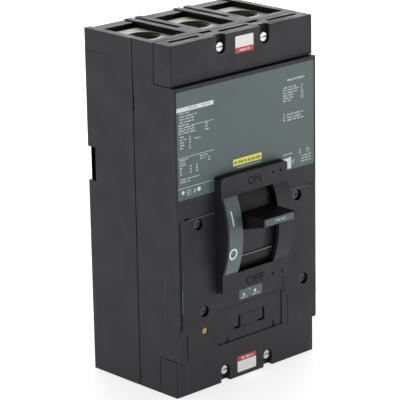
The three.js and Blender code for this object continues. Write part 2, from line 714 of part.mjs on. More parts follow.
function mechanismFrame(side) {
  const x = range(side * FRAME_X[0], side * FRAME_X[1]);
  const plate = outline([
    [DEEP_FLOOR + GAP, -22],
    [BAR.depth - 4, -22],
    [BAR.depth + 14, -27],
    [BAR.depth + 14, -54],
    [52, -58],
    [76, -58],
    [78, -30],
    [70, -8],
    [46, -2],
    [28, -2],
    [DEEP_FLOOR + GAP, 6],
  ]);
  const tools = [
    prismX(disc(PIVOT.depth, PIVOT.z, 2.8, 12), [-20, 20]),
    prismX(disc(...CRADLE_PIVOT, 2.8, 12), [-20, 20]),
  ];
  return cut(prismX(plate, x), tools);
}

// The latch lever that holds the upper link, on its own pin.
function cradleLatch() {
  const plate = outline([
    [CRADLE_PIVOT[0] - 4, CRADLE_PIVOT[1] - 4],
    [CRADLE_PIVOT[0] + 4, CRADLE_PIVOT[1] - 4],
    [75, -40],
    [73, -12],
    [62, -12],
    [62, -26],
    [68, -40],
    [CRADLE_PIVOT[0] - 4, CRADLE_PIVOT[1] + 4],
  ]);
  const pin = prismX(disc(...CRADLE_PIVOT, 2.5, 12), [-13.6, 13.6]);
  const body = prismX(plate, [-2, 2]).add(pin);
  return body.subtract(prismX(disc(...LINK_TOP, 2.3, 12), [-3, 3]));
}

const linkPlate = (from, to, radius, x) => {
  const angle = Math.atan2(to[1] - from[1], to[0] - from[0]);
  const shape = new THREE.Shape();
  shape.absarc(from[0], from[1], radius, angle + Math.PI / 2, angle + 1.5 * Math.PI, false);
  shape.absarc(to[0], to[1], radius, angle - Math.PI / 2, angle + Math.PI / 2, false);
  return prismX(shape, x, 6);
};

// A fork: two plates either side of the middle, joined by a pin through the first eye.
function linkFork(from, to, radius, [near, far], pinHalf) {
  const plates = [-1, 1].map((side) => linkPlate(from, to, radius, range(side * near, side * far)));
  const pin = prismX(disc(...from, PIN_RADIUS, 12), [-pinHalf, pinHalf]);
  return join([...plates, pin]);
}

// Where the crank pin stands with the contacts opened by some degrees.
function crankPin(opening) {
  const angle = THREE.MathUtils.degToRad(opening);
  const [u, v] = CRANK;
  return [
    BAR.depth + u * Math.cos(angle) + v * Math.sin(angle),
    BAR.z - u * Math.sin(angle) + v * Math.cos(angle),
  ];
}

// The knee of the toggle lies on the rear side of the line between its two end pins.
function kneePoint(opening) {
  const [d0, z0] = LINK_TOP;
  const [d1, z1] = crankPin(opening);
  const span = Math.hypot(d1 - d0, z1 - z0);
  const rise = Math.sqrt(LINK_LENGTH ** 2 - (span / 2) ** 2);
  return [(d0 + d1) / 2 - ((z1 - z0) / span) * rise, (z0 + z1) / 2 + ((d1 - d0) / span) * rise];
}

const KNEE = kneePoint(BAR_OPENING);

function upperLink() {
  const half = UPPER_LINK_X[1];
  const hole = prismX(disc(...KNEE, PIN_RADIUS + 0.2, 12), [-half - 1, half + 1]);
  return linkFork(LINK_TOP, KNEE, 4, UPPER_LINK_X, half).subtract(hole);
}

// The lower link ends in an open jaw, so that the knee pin can leave it when the latch lets go.
function lowerLink() {
  const pin = crankPin(BAR_OPENING);
  const along = new THREE.Vector2(KNEE[0] - pin[0], KNEE[1] - pin[1]).normalize();
  const across = new THREE.Vector2(-along.y, along.x).multiplyScalar(PIN_RADIUS + 1.2);
  const at = (distance, side) => [
    KNEE[0] + along.x * distance + across.x * side,
    KNEE[1] + along.y * distance + across.y * side,
  ];
  const jaw = outline([at(0, -1), at(JAW_REACH + 6, -1.3), at(JAW_REACH + 6, 1.3), at(0, 1)]);
  const end = [KNEE[0] + along.x * JAW_REACH, KNEE[1] + along.y * JAW_REACH];
  const reach = [-LOWER_LINK_X[1] - 1, LOWER_LINK_X[1] + 1];
  const tools = [prismX(jaw, reach), prismX(disc(...KNEE, PIN_RADIUS + 1.2, 16), reach)];
  return cut(linkFork(pin, end, 5, LOWER_LINK_X, CRANK_EAR_X[1] - 0.4), tools);
}

const kneePin = () => prismX(disc(...KNEE, PIN_RADIUS, 12), [-11.4, 11.4]);

// ---- Moving contacts, in the closed position; the group that holds them opens them ----

const BAR_BODY = 8;

function contactCrossbar() {
  const { depth, z } = BAR;
  const square = block([-66, 66], [depth - BAR_BODY, depth + BAR_BODY], [z - BAR_BODY, z + BAR_BODY]);
  const round = prismX(disc(depth, z, BAR_BODY * 1.25, 24), [-67, 67]);
  const body = square.intersect(round);
  const hubs = Object.values(POLES).map((x) =>
    block([x - 10.8, x + 10.8], [depth - 9, depth + 9], [z - 9, z + 9]),
  );
  const slots = Object.values(POLES).map((x) =>
    block([x - 5.3, x + 5.3], [depth - 12, depth + 12], [z - 3, z + 14]),
  );
  const closedPin = crankPin(0);
  const ears = [-1, 1].map((side) => {
    const x = range(side * CRANK_EAR_X[0], side * CRANK_EAR_X[1]);
    return linkPlate([depth, z], closedPin, CRANK_EAR_RADIUS, x);
  });
  const linkRoom = block([-7, 7], [depth + 3, depth + 12], [z - 3, z + 14]);
  const pinHole = prismX(disc(...closedPin, PIN_RADIUS + GAP, 16), [-12, 12]);
  return cut(join([body, ...hubs, ...ears]), [...slots, linkRoom, pinHole]);
}

function contactArm(x) {
  const { depth, z } = BAR;
  const bar = outline([
    [depth - 5, z - 2.6],
    [depth + 6, z - 2.6],
    [depth + 6, z + 14],
    [depth + 1, z + ARM_REACH],
    [depth - 5, z + ARM_REACH],
    [depth - 5, z + 20],
  ]);
  const pad = block([x - 3.5, x + 3.5], [depth - 7, depth - 4], [CONTACT_Z - 8, CONTACT_Z]);
  return prismX(bar, [x - 4.5, x + 4.5]).add(pad);
}

// ---- Current path ----

const STRAP = { half: 10, rear: CHANNEL_FLOOR + GAP, front: CHANNEL_FLOOR + GAP + 4 };
const PAD_FRONT = BAR.depth - 7 - GAP;

function lineStrap(x) {
  const bar = block([x - STRAP.half, x + STRAP.half], [STRAP.rear, STRAP.front], [12, 133]);
  const stud = block([x - 6, x + 6], [STRAP.front - 1, PAD_FRONT], [CONTACT_Z - 9, CONTACT_Z + 1]);
  return bar.add(stud);
}

function loadStrap(x) {
  const bar = block([x - STRAP.half, x + STRAP.half], [STRAP.rear, STRAP.front], [-133, -60]);
  const heater = block([x - STRAP.half, x + STRAP.half], [STRAP.rear, 44], [-63, -60]);
  return bar.add(heater);
}

function bimetal(x) {
  const rise = block([x - 6, x + 6], [STRAP.front + GAP, 42], [-66.5, -65]);
  const foot = block([x - 6, x + 6], [STRAP.front + GAP, STRAP.front + GAP + 1.5], [-76, -65]);
  return rise.add(foot);
}

const LUG = { half: 15.5, rear: STRAP.front + GAP, front: 66, z: [99.6, 135.6], bore: 11.5 };
const WIRE_DEPTH = 42;

// end is 1 at the line end and -1 at the load end.
function terminalLug(x, end) {
  const z = LUG.z.map((value) => end * value);
  const chamfer = 4;
  const section = outline([
    [x - LUG.half, LUG.rear],
    [x + LUG.half, LUG.rear],
    [x + LUG.half, LUG.front - chamfer],
    [x + LUG.half - chamfer, LUG.front],
    [x - LUG.half + chamfer, LUG.front],
    [x - LUG.half, LUG.front - chamfer],
  ]);
  const body = prismZ(section, range(...z));
  const wire = prismZ(disc(x, WIRE_DEPTH, LUG.bore, 24), range(z[0] - end, z[1] + end));
  const mouth = LUG.bore + 1.6;
  const flare = prismZ(disc(x, WIRE_DEPTH, mouth, 24), range(z[1] - end * 1.5, z[1] + end));
  const thread = bore(x, end * 118, LUG_SCREW.headRadius + GAP, [50, LUG.front + 1], 20);
  return cut(body, [wire, flare, thread]);
}

// ---- Arc chutes ----

function arcChute(x) {
  const plates = 7;
  const pitch = 5.4;
  const first = CHANNEL_FLOOR + 9;
  const notch = outline([
    [x - 5, 20],
    [x + 5, 20],
    [x, 52],
  ]);
  const stack = Array.from({ length: plates }, (_, i) => {
    const depth = first + i * pitch;
    const plate = block([x - 14.5, x + 14.5], [depth, depth + 1.6], [32, 78]);
    return plate.subtract(prismDepth(notch, [depth - 1, depth + 3]));
  });
  const last = first + (plates - 1) * pitch + 1.6;
  const walls = [-1, 1].map((side) => {
    const wall = [x + side * 14, x + side * 16];
    return block(wall, [first - 2, last + 2], [30, 80]);
  });
  return join([...stack, ...walls]);
}

// ---- Trip unit ----

function tripBar() {
  const { depth, z } = TRIP_BAR;
  const shaft = prismX(disc(depth, z, 4, 12), [-66, 66]);
  const paddleX = [TRIP_BUTTON.x - 4, TRIP_BUTTON.x + 4];
  const paddle = block(paddleX, [depth - 1, 74], [TRIP_BUTTON.z - 1.7, z - 2]);
  const fingers = Object.values(POLES).map((x) =>
    block([x - 4, x + 4], [depth - 12, depth], [z + 1, z + 3]),
  );
  return join([shaft, paddle, ...fingers]);
}

// ---- Assembly ----

const breaker = new THREE.Group();
const place = (name, solid, material, parent = breaker) => parent.add(toMesh(name, solid, material));

place("base_case", baseCase(), caseBlack());
place("main_cover", mainCover(), caseBlack());
place("line_end_cover", endCover(1), caseBlack());
place("load_end_cover", endCover(-1), caseBlack());
place("handle_surround", handleSurround(), caseBlack());
place("left_accessory_cover", accessoryCover("left"), caseBlack());
place("right_accessory_cover", accessoryCover("right"), caseBlack());
place("faceplate", faceplate(), labelGrey());
place("position_strip", positionStrip(), labelGrey());
place("adjuster_plate", adjusterPlate(), caseBlack());

for (const [corner, [x, z]] of Object.entries(ACCESSORY_SCREWS)) {
  place(`accessory_screw_${corner}`, screw(x, z, ACCESSORY_SCREW), blackSteel());
}
for (const [endName, end] of [
  ["line", 1],
  ["load", -1],
]) {
  for (const [sideName, side] of [
    ["left", -1],
    ["right", 1],
  ]) {
    const solid = screw(side * END_SCREW.x, end * END_SCREW.z, END_COVER_SCREW);
    place(`${endName}_cover_screw_${sideName}`, solid, zinc());
  }
  for (const pole of POLE_NAMES) {
    place(`${endName}_lug_${pole}`, terminalLug(POLES[pole], end), tinnedAluminium());
    place(`${endName}_lug_screw_${pole}`, screw(POLES[pole], end * 118, LUG_SCREW), tinnedAluminium());
  }
}

place("toggle_handle", toggleHandle(), innerBlack());
place("handle_rating_insert", ratingInsert(), labelGrey());
place("handle_yoke", handleYoke(), plainSteel());
place("mechanism_frame_left", mechanismFrame(-1), plainSteel());
place("mechanism_frame_right", mechanismFrame(1), plainSteel());
place("cradle_latch", cradleLatch(), plainSteel());
place("upper_toggle_link", upperLink(), plainSteel());
place("lower_toggle_link", lowerLink(), plainSteel());
place("knee_pin", kneePin(), plainSteel());
for (const [sideName, side] of [
  ["left", -1],
  ["right", 1],
]) {
  place(`drive_spring_${sideName}`, driveSpring(side), plainSteel());
}
place("push_to_trip_button", tripButton(), brass());
place("push_to_trip_spring", buttonSpring(), plainSteel());
place("trip_bar", tripBar(), innerBlack());

for (const pole of POLE_NAMES) {
  const x = POLES[pole];
  place(`line_strap_${pole}`, lineStrap(x), copper());
  place(`load_strap_${pole}`, loadStrap(x), copper());
  place(`bimetal_${pole}`, bimetal(x), plainSteel());
  place(`arc_chute_${pole}`, arcChute(x), plainSteel());
}

// The group turns about the crossbar axis to stand the contacts open.
const contacts = new THREE.Group();
const inner = new THREE.Group();
contacts.position.set(0, -BAR.depth, BAR.z);
contacts.rotation.x = THREE.MathUtils.degToRad(BAR_OPENING);
inner.position.set(0, BAR.depth, -BAR.z);
contacts.add(inner);
breaker.add(contacts);
place("contact_crossbar", contactCrossbar(), innerBlack(), inner);
for (const pole of POLE_NAMES) {
  place(`contact_arm_${pole}`, contactArm(POLES[pole]), copper(), inner);
}

export default breaker;
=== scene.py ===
"""Looks for a three pole molded case breaker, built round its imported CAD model.

Metres, +Z up. The origin is the centre of the rear mounting face and the front faces -Y.
Left is -X, the line end is the top and the load end is the bottom.
"""

import json
import math
import random

import bmesh
import bpy
from mathutils import Matrix, Vector


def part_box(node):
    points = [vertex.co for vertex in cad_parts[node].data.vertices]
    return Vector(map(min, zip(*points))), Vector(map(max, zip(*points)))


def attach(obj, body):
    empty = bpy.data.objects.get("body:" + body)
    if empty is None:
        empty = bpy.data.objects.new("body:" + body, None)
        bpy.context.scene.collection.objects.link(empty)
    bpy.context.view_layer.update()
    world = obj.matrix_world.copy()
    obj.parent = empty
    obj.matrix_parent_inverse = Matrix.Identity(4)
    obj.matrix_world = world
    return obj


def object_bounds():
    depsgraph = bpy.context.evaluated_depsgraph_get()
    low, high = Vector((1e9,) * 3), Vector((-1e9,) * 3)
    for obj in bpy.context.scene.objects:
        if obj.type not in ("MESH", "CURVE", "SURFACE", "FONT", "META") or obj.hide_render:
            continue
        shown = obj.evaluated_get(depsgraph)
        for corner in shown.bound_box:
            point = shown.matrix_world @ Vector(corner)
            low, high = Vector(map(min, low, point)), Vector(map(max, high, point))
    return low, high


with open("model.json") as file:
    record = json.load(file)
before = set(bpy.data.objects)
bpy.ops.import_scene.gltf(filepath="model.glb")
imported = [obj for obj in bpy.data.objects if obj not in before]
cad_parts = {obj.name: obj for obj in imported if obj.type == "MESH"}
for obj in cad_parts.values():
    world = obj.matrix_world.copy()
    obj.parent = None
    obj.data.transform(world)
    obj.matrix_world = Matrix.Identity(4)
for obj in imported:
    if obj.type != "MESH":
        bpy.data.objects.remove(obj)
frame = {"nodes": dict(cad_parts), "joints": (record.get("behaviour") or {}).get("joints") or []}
cad_box = [list(corner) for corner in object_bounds()]
nodes = frame["nodes"]
scene = bpy.context.scene


# ---- Places read from the frame ----


def joint(name):
    return next(j for j in frame["joints"] if j["name"] == name)


case_low, case_high = Vector(cad_box[0]), Vector(cad_box[1])
label_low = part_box("faceplate")[0]
surround_low, surround_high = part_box("handle_surround")
strip_low, strip_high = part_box("position_strip")
adjuster_low, adjuster_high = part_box("adjuster_plate")
insert_low, insert_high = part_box("handle_rating_insert")
handle_axis = Vector(joint("handle_swing")["pos_m"])

COVER_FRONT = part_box("main_cover")[0].y
SURROUND_RISE = 0.0070  # flat bars of the handle escutcheon above the main cover
SURROUND_FACE = COVER_FRONT - SURROUND_RISE
INK = 0.00004  # how far print stands off what it is printed on
INK_ROOT = 0.00003  # how far it goes in
APRON_RADIUS = 0.0746  # outside of the handle's apron, from the handle axis
APRON_STEP = 0.0009  # depth of the lowered bands of the apron
APRON_PAD = (-0.0178, 0.0084)  # left and right of the raised pad under the grip, and of the painted light on it
HANDLE_REACH = 0.0999  # from the handle axis to the face of the insert in its tip


# ---- Node materials ----

RANGE_SOCKETS = ("From Min", "From Max", "To Min", "To Max")


def shade(colour, factor):
    """The same colour, darker or lighter, and never above 1."""
    return tuple(min(1, factor * channel) for channel in colour)


class Material:
    """A node material around one Principled shader. Coordinates are the object's own, in metres."""

    def __init__(self, name, colour, roughness, metallic=0.0):
        self.material = bpy.data.materials.new(name)
        self.material.use_nodes = True
        self.tree = self.material.node_tree
        self.shader = self.tree.nodes["Principled BSDF"]
        self.shader.inputs["Base Color"].default_value = (*colour, 1)
        self.shader.inputs["Roughness"].default_value = roughness
        self.shader.inputs["Metallic"].default_value = metallic
        self.shader.inputs["IOR"].default_value = 1.5
        self.place = self.node("ShaderNodeTexCoord").outputs["Object"]

    def node(self, kind, **settings):
        made = self.tree.nodes.new(kind)
        for key, value in settings.items():
            setattr(made, key, value)
        return made

    def link(self, source, target):
        self.tree.links.new(source, target)

    def feed(self, socket, source):
        self.link(source, self.shader.inputs[socket])

    def stretched(self, scale):
        mapping = self.node("ShaderNodeMapping")
        mapping.inputs["Scale"].default_value = scale
        self.link(self.place, mapping.inputs["Vector"])
        return mapping.outputs["Vector"]

    def noise(self, scale, detail=3.0, rough=0.55, vector=None):
        """Noise with features about 1 / scale metres across."""
        texture = self.node("ShaderNodeTexNoise")
        texture.inputs["Scale"].default_value = scale
        texture.inputs["Detail"].default_value = detail
        texture.inputs["Roughness"].default_value = rough
        self.link(vector or self.place, texture.inputs["Vector"])
        return texture.outputs["Fac"]

    def spread(self, source, low, high, to_low=0.0, to_high=1.0):
        """Maps low..high to to_low..to_high, held at both ends."""
        mapped = self.node("ShaderNodeMapRange", clamp=True)
        for socket, value in zip(RANGE_SOCKETS, (low, high, to_low, to_high)):
            mapped.inputs[socket].default_value = value
        self.link(source, mapped.inputs["Value"])
        return mapped.outputs["Result"]

    def maths(self, operation, a, b):
        made = self.node("ShaderNodeMath", operation=operation)
        for socket, value in zip(made.inputs, (a, b)):
            if isinstance(value, (int, float)):
                socket.default_value = value
            else:
                self.link(value, socket)
        return made.outputs[0]

    def mixed(self, share, a, b):
        """Colour a where share is 0 and colour b where it is 1."""
        mix = self.node("ShaderNodeMix", data_type="RGBA")
        self.link(share, mix.inputs["Factor"])
        for name, value in (("A", a), ("B", b)):
            socket = next(s for s in mix.inputs if s.name == name and s.type == "RGBA")
            if isinstance(value, tuple):
                socket.default_value = (*value, 1)
            else:
                self.link(value, socket)
        return next(s for s in mix.outputs if s.type == "RGBA")

    def edges(self, radius, full):
        """0 on flats, rising to 1 along edges and corners."""
        rounded_off = self.node("ShaderNodeBevel", samples=4)
        rounded_off.inputs["Radius"].default_value = radius
        flat = self.node("ShaderNodeNewGeometry").outputs["Normal"]
        dot = self.node("ShaderNodeVectorMath", operation="DOT_PRODUCT")
        self.link(rounded_off.outputs["Normal"], dot.inputs[0])
        self.link(flat, dot.inputs[1])
        return self.spread(dot.outputs["Value"], 1.0, 1.0 - full)

    def bump(self, height, distance, normal=None):
        made = self.node("ShaderNodeBump")
        made.inputs["Distance"].default_value = distance
        self.link(height, made.inputs["Height"])
        if normal:
            self.link(normal, made.inputs["Normal"])
        return made.outputs["Normal"]


def moulded(name, colour, worn, roughness, specular=0.3, grain=0.000012):
    """Moulded plastic: fine spark texture, cloudy tone, worn paler edges and a few scuffs."""
    m = Material(name, colour, roughness)
    m.shader.inputs["Specular IOR Level"].default_value = specular
    cloud = m.spread(m.noise(14, 4), 0.3, 0.7)
    base = m.mixed(cloud, shade(colour, 0.86), shade(colour, 1.14))
    speckle = m.spread(m.noise(1500, 2), 0.62, 0.8, 0, 0.35)
    base = m.mixed(speckle, base, worn)
    streaks = m.noise(120, 5, 0.6, m.stretched((1, 1, 0.08)))
    scuffs = m.spread(streaks, 0.66, 0.74, 0, 0.22)
    base = m.mixed(scuffs, base, worn)
    patches = m.spread(m.noise(260, 3), 0.35, 0.6, 0.15, 0.8)
    rub = m.maths("MULTIPLY", m.edges(0.0005, 0.12), patches)
    m.feed("Base Color", m.mixed(rub, base, worn))
    polish = m.spread(m.noise(55, 4), 0.3, 0.7, roughness - 0.06, roughness + 0.07)
    m.feed("Roughness", m.maths("SUBTRACT", polish, m.maths("MULTIPLY", scuffs, 0.3)))
    coarse = m.bump(m.noise(900, 3), grain)
    m.feed("Normal", m.bump(m.noise(2600, 2), grain * 0.6, coarse))
    return m.material


def film(name, colour, roughness):
    """Printed plastic film: very even, with a fine orange peel and faint handling marks."""
    m = Material(name, colour, roughness)
    cloud = m.spread(m.noise(22, 3), 0.3, 0.7)
    m.feed("Base Color", m.mixed(cloud, shade(colour, 0.95), shade(colour, 1.05)))
    smears = m.noise(60, 5, 0.65, m.stretched((1, 1, 0.35)))
    m.feed("Roughness", m.spread(smears, 0.35, 0.7, roughness - 0.05, roughness + 0.08))
    m.feed("Normal", m.bump(m.noise(700, 2), 0.000005))
    return m.material


def ink(name, colour, roughness=0.5, specular=0.5):
    """Screen print, a little darker where it is thin."""
    m = Material(name, colour, roughness)
    m.shader.inputs["Specular IOR Level"].default_value = specular
    thin = m.spread(m.noise(1800, 3), 0.55, 0.75, 0, 0.35)
    m.feed("Base Color", m.mixed(thin, colour, shade(colour, 0.72)))
    m.feed("Roughness", m.spread(m.noise(400, 2), 0.3, 0.7, roughness - 0.08, roughness + 0.08))
    return m.material


def paper(name, colour):
    """Coated sticker paper with slightly toned edges."""
    m = Material(name, colour, 0.42)
    cloud = m.spread(m.noise(180, 4), 0.3, 0.7)
    base = m.mixed(cloud, shade(colour, 0.96), colour)
    edge = m.maths("MULTIPLY", m.edges(0.0004, 0.3), 0.4)
    m.feed("Base Color", m.mixed(edge, base, shade(colour, 0.7)))
    m.feed("Roughness", m.spread(m.noise(90, 3), 0.3, 0.7, 0.36, 0.5))
    m.feed("Normal", m.bump(m.noise(350, 3), 0.00001))
    return m.material


def plated(name, colour, tarnish, roughness, cloud_scale=45):
    """Plated or oxide-finished steel: cloudy film, fine pits, brighter rubbed edges."""
    m = Material(name, colour, roughness, metallic=1.0)
    cloud = m.spread(m.noise(cloud_scale, 5, 0.65), 0.4, 0.72, 0, 0.6)
    base = m.mixed(cloud, colour, tarnish)
    rub = m.maths("MULTIPLY", m.edges(0.0003, 0.15), 0.6)
    m.feed("Base Color", m.mixed(rub, base, shade(colour, 1.25)))
    m.feed("Roughness", m.spread(m.noise(300, 4), 0.3, 0.7, roughness - 0.08, roughness + 0.12))
    m.feed("Normal", m.bump(m.noise(1400, 3), 0.000008))
    return m.material


def sawn(name, colour, dull, roughness, along):
    """Drawn or sawn metal: fine lines that run along one direction, given as a stretch."""
    m = Material(name, colour, roughness, metallic=1.0)
    lines = m.noise(900, 4, 0.6, m.stretched(along))
    patches = m.spread(m.noise(70, 4), 0.35, 0.7)
    base = m.mixed(patches, colour, dull)
    m.feed("Base Color", m.mixed(m.spread(lines, 0.35, 0.75, 0, 0.4), base, dull))
    m.feed("Roughness", m.spread(lines, 0.3, 0.7, roughness - 0.07, roughness + 0.12))
    m.feed("Normal", m.bump(lines, 0.000012))
    return m.material


ALONG_X = (0.06, 1, 1)
ALONG_Z = (1, 1, 0.06)


def make_materials():
    """Every material by its key. Colours are linear; a second colour is worn, tarnished or dull."""
    return {
        "case": moulded("case_thermoset", (0.0192, 0.0198, 0.0242), (0.088, 0.09, 0.097), 0.52),
        "handle": moulded("handle_thermoset", (0.0085, 0.0085, 0.0098), (0.05, 0.05, 0.055), 0.42, 0.17),
        "inner": moulded("inner_thermoset", (0.022, 0.021, 0.021), (0.08, 0.08, 0.08), 0.5),
        "yellow": moulded("yellow_plastic", (0.52, 0.37, 0.03), (0.75, 0.6, 0.2), 0.3, 0.5, 0.000004),
        "label": film("label_film", (0.088, 0.128, 0.130), 0.48),
        "print": ink("pale_ink", (0.66, 0.72, 0.76)),
        "bright_print": ink("white_ink", (0.80, 0.86, 0.90)),
        "grey_print": ink("grey_ink", (0.34, 0.38, 0.39)),
        "dark_print": ink("dark_ink", (0.010, 0.010, 0.011), 0.7, 0.17),
        "painted_shade_black": ink("painted_shade_black", (0.003, 0.003, 0.0035), 0.9, 0.0),
        "faint_edge_print": ink("faint_edge_ink", (0.085, 0.085, 0.09)),
        "tag": film("yellow_film", (0.93, 0.90, 0.13), 0.45),
        "tag_print": ink("brown_ink", (0.16, 0.12, 0.02)),
        "sticker": paper("sticker_white", (0.96, 0.96, 0.95)),
        "sticker_red": paper("sticker_red", (0.62, 0.03, 0.045)),
        "zinc": plated("bright_zinc", (0.6, 0.61, 0.6), (0.4, 0.42, 0.41), 0.3),
        "black_screw": plated("black_oxide", (0.1, 0.1, 0.105), (0.055, 0.055, 0.06), 0.34),
        "steel": plated("dull_steel", (0.42, 0.42, 0.41), (0.3, 0.29, 0.27), 0.36),
        "spring": plated("spring_steel", (0.3, 0.3, 0.3), (0.2, 0.19, 0.18), 0.3, 120),
        "lug": sawn("tinned_aluminium", (0.44, 0.425, 0.37), (0.27, 0.26, 0.22), 0.5, ALONG_Z),
        "chute": sawn("arc_plate_steel", (0.36, 0.35, 0.34), (0.22, 0.21, 0.2), 0.4, ALONG_X),
        "copper": sawn("copper", (0.72, 0.36, 0.22), (0.42, 0.2, 0.13), 0.34, ALONG_Z),
        "bimetal": sawn("bimetal_strip", (0.5, 0.47, 0.4), (0.38, 0.35, 0.3), 0.34, ALONG_X),
    }


NODE_MATERIALS = {  # by the start of a CAD node's name
    "faceplate": "label",
    "position_strip": "label",
    "handle_rating_insert": "label",
    "toggle_handle": "handle",
    "trip_bar": "inner",
    "contact_crossbar": "inner",
    "push_to_trip_button": "yellow",
    "push_to_trip_spring": "spring",
    "drive_spring": "spring",
    "accessory_screw": "black_screw",
    "line_cover_screw": "zinc",
    "load_cover_screw": "zinc",
    "line_lug": "lug",
    "load_lug": "lug",
    "line_strap": "copper",
    "load_strap": "copper",
    "contact_arm": "copper",
    "arc_chute": "chute",
    "bimetal": "bimetal",
    "handle_yoke": "steel",
    "mechanism_frame": "steel",
    "cradle_latch": "steel",
    "upper_toggle": "steel",
    "lower_toggle": "steel",
    "knee_pin": "steel",
}


def material_for(node):
    """The key of the material that a CAD node takes; what isn't listed is the case's plastic."""
    return next((key for start, key in NODE_MATERIALS.items() if node.startswith(start)), "case")


materials = make_materials()


# ---- CAD nodes: better materials and softened edges ----

SOFT_EDGES = {  # how wide the rounded edges of each visible moulding are
    "toggle_handle": 0.0006,
    "handle_surround": 0.0006,
    "line_end_cover": 0.0004,
    "load_end_cover": 0.0004,
    "left_accessory_cover": 0.0004,
    "right_accessory_cover": 0.0004,
    "adjuster_plate": 0.0003,
}
SOFT_ANGLE = 28  # degrees; an edge less sharp than this stays as it is
FLAT_ANGLE = 0.5  # degrees; triangles closer than this to one plane become one face


def soften(node, width):
    """Rounds a CAD node's sharp edges with modifiers; its own mesh stays as packed."""
    piece = nodes[node]
    weld = piece.modifiers.new("weld", "WELD")
    weld.merge_threshold = 0.000002
    flats = piece.modifiers.new("flats", "DECIMATE")
    flats.decimate_type = "DISSOLVE"
    flats.angle_limit = math.radians(FLAT_ANGLE)
    bevel = piece.modifiers.new("bevel", "BEVEL")
    bevel.width = width
    bevel.segments = 2
    bevel.limit_method = "ANGLE"
    bevel.angle_limit = math.radians(SOFT_ANGLE)
    bevel.miter_outer = "MITER_ARC"
    bevel.use_clamp_overlap = True
    bevel.harden_normals = False
    for polygon in piece.data.polygons:
        polygon.use_smooth = True
    normals = piece.modifiers.new("normals", "WEIGHTED_NORMAL")
    normals.keep_sharp = True


def dress_cad_nodes():
    for name, piece in nodes.items():
        material = materials[material_for(name)]
        for slot in piece.material_slots:
            slot.material = material
    for name, width in SOFT_EDGES.items():
        soften(name, width)


# ---- Mesh helpers ----

BEND_STEPS = 10  # rows of faces in a sheet of print that is bent round the handle axis


def finish_piece(name, mesh, material, body):
    piece = bpy.data.objects.new(name, mesh)
    scene.collection.objects.link(piece)
    mesh.materials.append(materials[material])
    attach(piece, body)
    return piece


def mesh_from(name, build):
    shape = bmesh.new()
    build(shape)
    bmesh.ops.recalc_face_normals(shape, faces=shape.faces)
    mesh = bpy.data.meshes.new(name)
    shape.to_mesh(mesh)
    shape.free()
    return mesh


def join_rings(shape, low, high):
    """Closes the gap between two rings of as many vertices with a band of quads."""
    count = len(low)
    for i in range(count):
        j = (i + 1) % count
        shape.faces.new((low[i], low[j], high[j], high[i]))


def add_slab(shape, outline, back, front):
    """A closed slab with an outline of (x, z) points, from depth position back to front (both Y)."""
    rear = [shape.verts.new((x, back, z)) for x, z in outline]
    fore = [shape.verts.new((x, front, z)) for x, z in outline]
    shape.faces.new(rear)
    shape.faces.new(list(reversed(fore)))
    join_rings(shape, rear, fore)


def add_band(shape, rows):
    """A closed sheet of print in rows from low to high, each (left, right, z), ready to be bent."""
    rings = []
    for x0, x1, z in rows:
        corners = ((x0, INK_ROOT), (x1, INK_ROOT), (x1, -INK), (x0, -INK))
        rings.append([shape.verts.new((x, y, z)) for x, y in corners])
    for low, high in zip(rings, rings[1:]):
        join_rings(shape, low, high)
    shape.faces.new(list(reversed(rings[0])))
    shape.faces.new(rings[-1])


def even_steps(low, high):
    return [low + (high - low) * i / BEND_STEPS for i in range(BEND_STEPS + 1)]


def rectangle(x0, x1, z0, z1):
    return [(x0, z0), (x1, z0), (x1, z1), (x0, z1)]


def rounded(x0, x1, z0, z1, radius):
    """A rectangle with round corners, of five short sides each."""
    steps = 5
    points = []
    corners = ((x1, z0, -90), (x1, z1, 0), (x0, z1, 90), (x0, z0, 180))
    for x, z, start in corners:
        cx = x - math.copysign(radius, x - (x0 + x1) / 2)
        cz = z - math.copysign(radius, z - (z0 + z1) / 2)
        for i in range(steps + 1):
            angle = math.radians(start + 90 * i / steps)
            points.append((cx + radius * math.cos(angle), cz + radius * math.sin(angle)))
    return points


def ellipse(x, z, half_width, half_height, sides):
    turn = 2 * math.pi / sides
    return [
        (x + half_width * math.cos(i * turn), z + half_height * math.sin(i * turn)) for i in range(sides)
    ]


def circle(x, z, radius):
    return ellipse(x, z, radius, radius, 28)


def add_ring(shape, centre, outer, inner, back, front):
    """A closed flat ring; outer and inner are (half width, half height)."""
    loops = []
    for size, y in ((outer, back), (outer, front), (inner, front), (inner, back)):
        outline = ellipse(*centre, *size, 36)
        loops.append([shape.verts.new((x, y, z)) for x, z in outline])
    for k in range(4):
        join_rings(shape, loops[k], loops[(k + 1) % 4])


def printed(name, outlines, face, material):
    """Flat print on a face of the case that looks forwards: one thin closed slab for each outline."""

    def build(shape):
        for outline in outlines:
            add_slab(shape, outline, face + INK_ROOT, face - INK)

    finish_piece(name, mesh_from(name, build), material, "case")


# ---- Generic print: rows of small strokes that say nothing ----

STROKE = 0.00052
STROKE_GAP = 0.00034
WORD_GAP = 0.0010


def stroke_row(left, right, base, height, rng):
    """Words of 3 to 7 strokes, some of them shorter at the foot or at the head."""
    strokes = []
    x = left
    while x < right:
        for _ in range(rng.randint(3, 7)):
            width = STROKE * rng.uniform(0.8, 1.5)
            if x + width > right:
                return strokes
            low = base + height * rng.choice((0, 0, 0.2))
            high = base + height * rng.choice((1, 1, 0.78))
            strokes.append(rectangle(x, x + width, low, high))
            x += width + STROKE_GAP
        x += WORD_GAP
    return strokes


def stroke_blocks(x, blocks, rng):
    """Blocks of rows: each has a left edge (from x), a top, row lengths, row pitch and stroke height."""
    strokes = []
    for left, top, lengths, pitch, height in blocks:
        for i, length in enumerate(lengths):
            base = top - i * pitch - height
            strokes += stroke_row(x + left, x + left + length, base, height, rng)
    return strokes


# ---- The faceplate ----

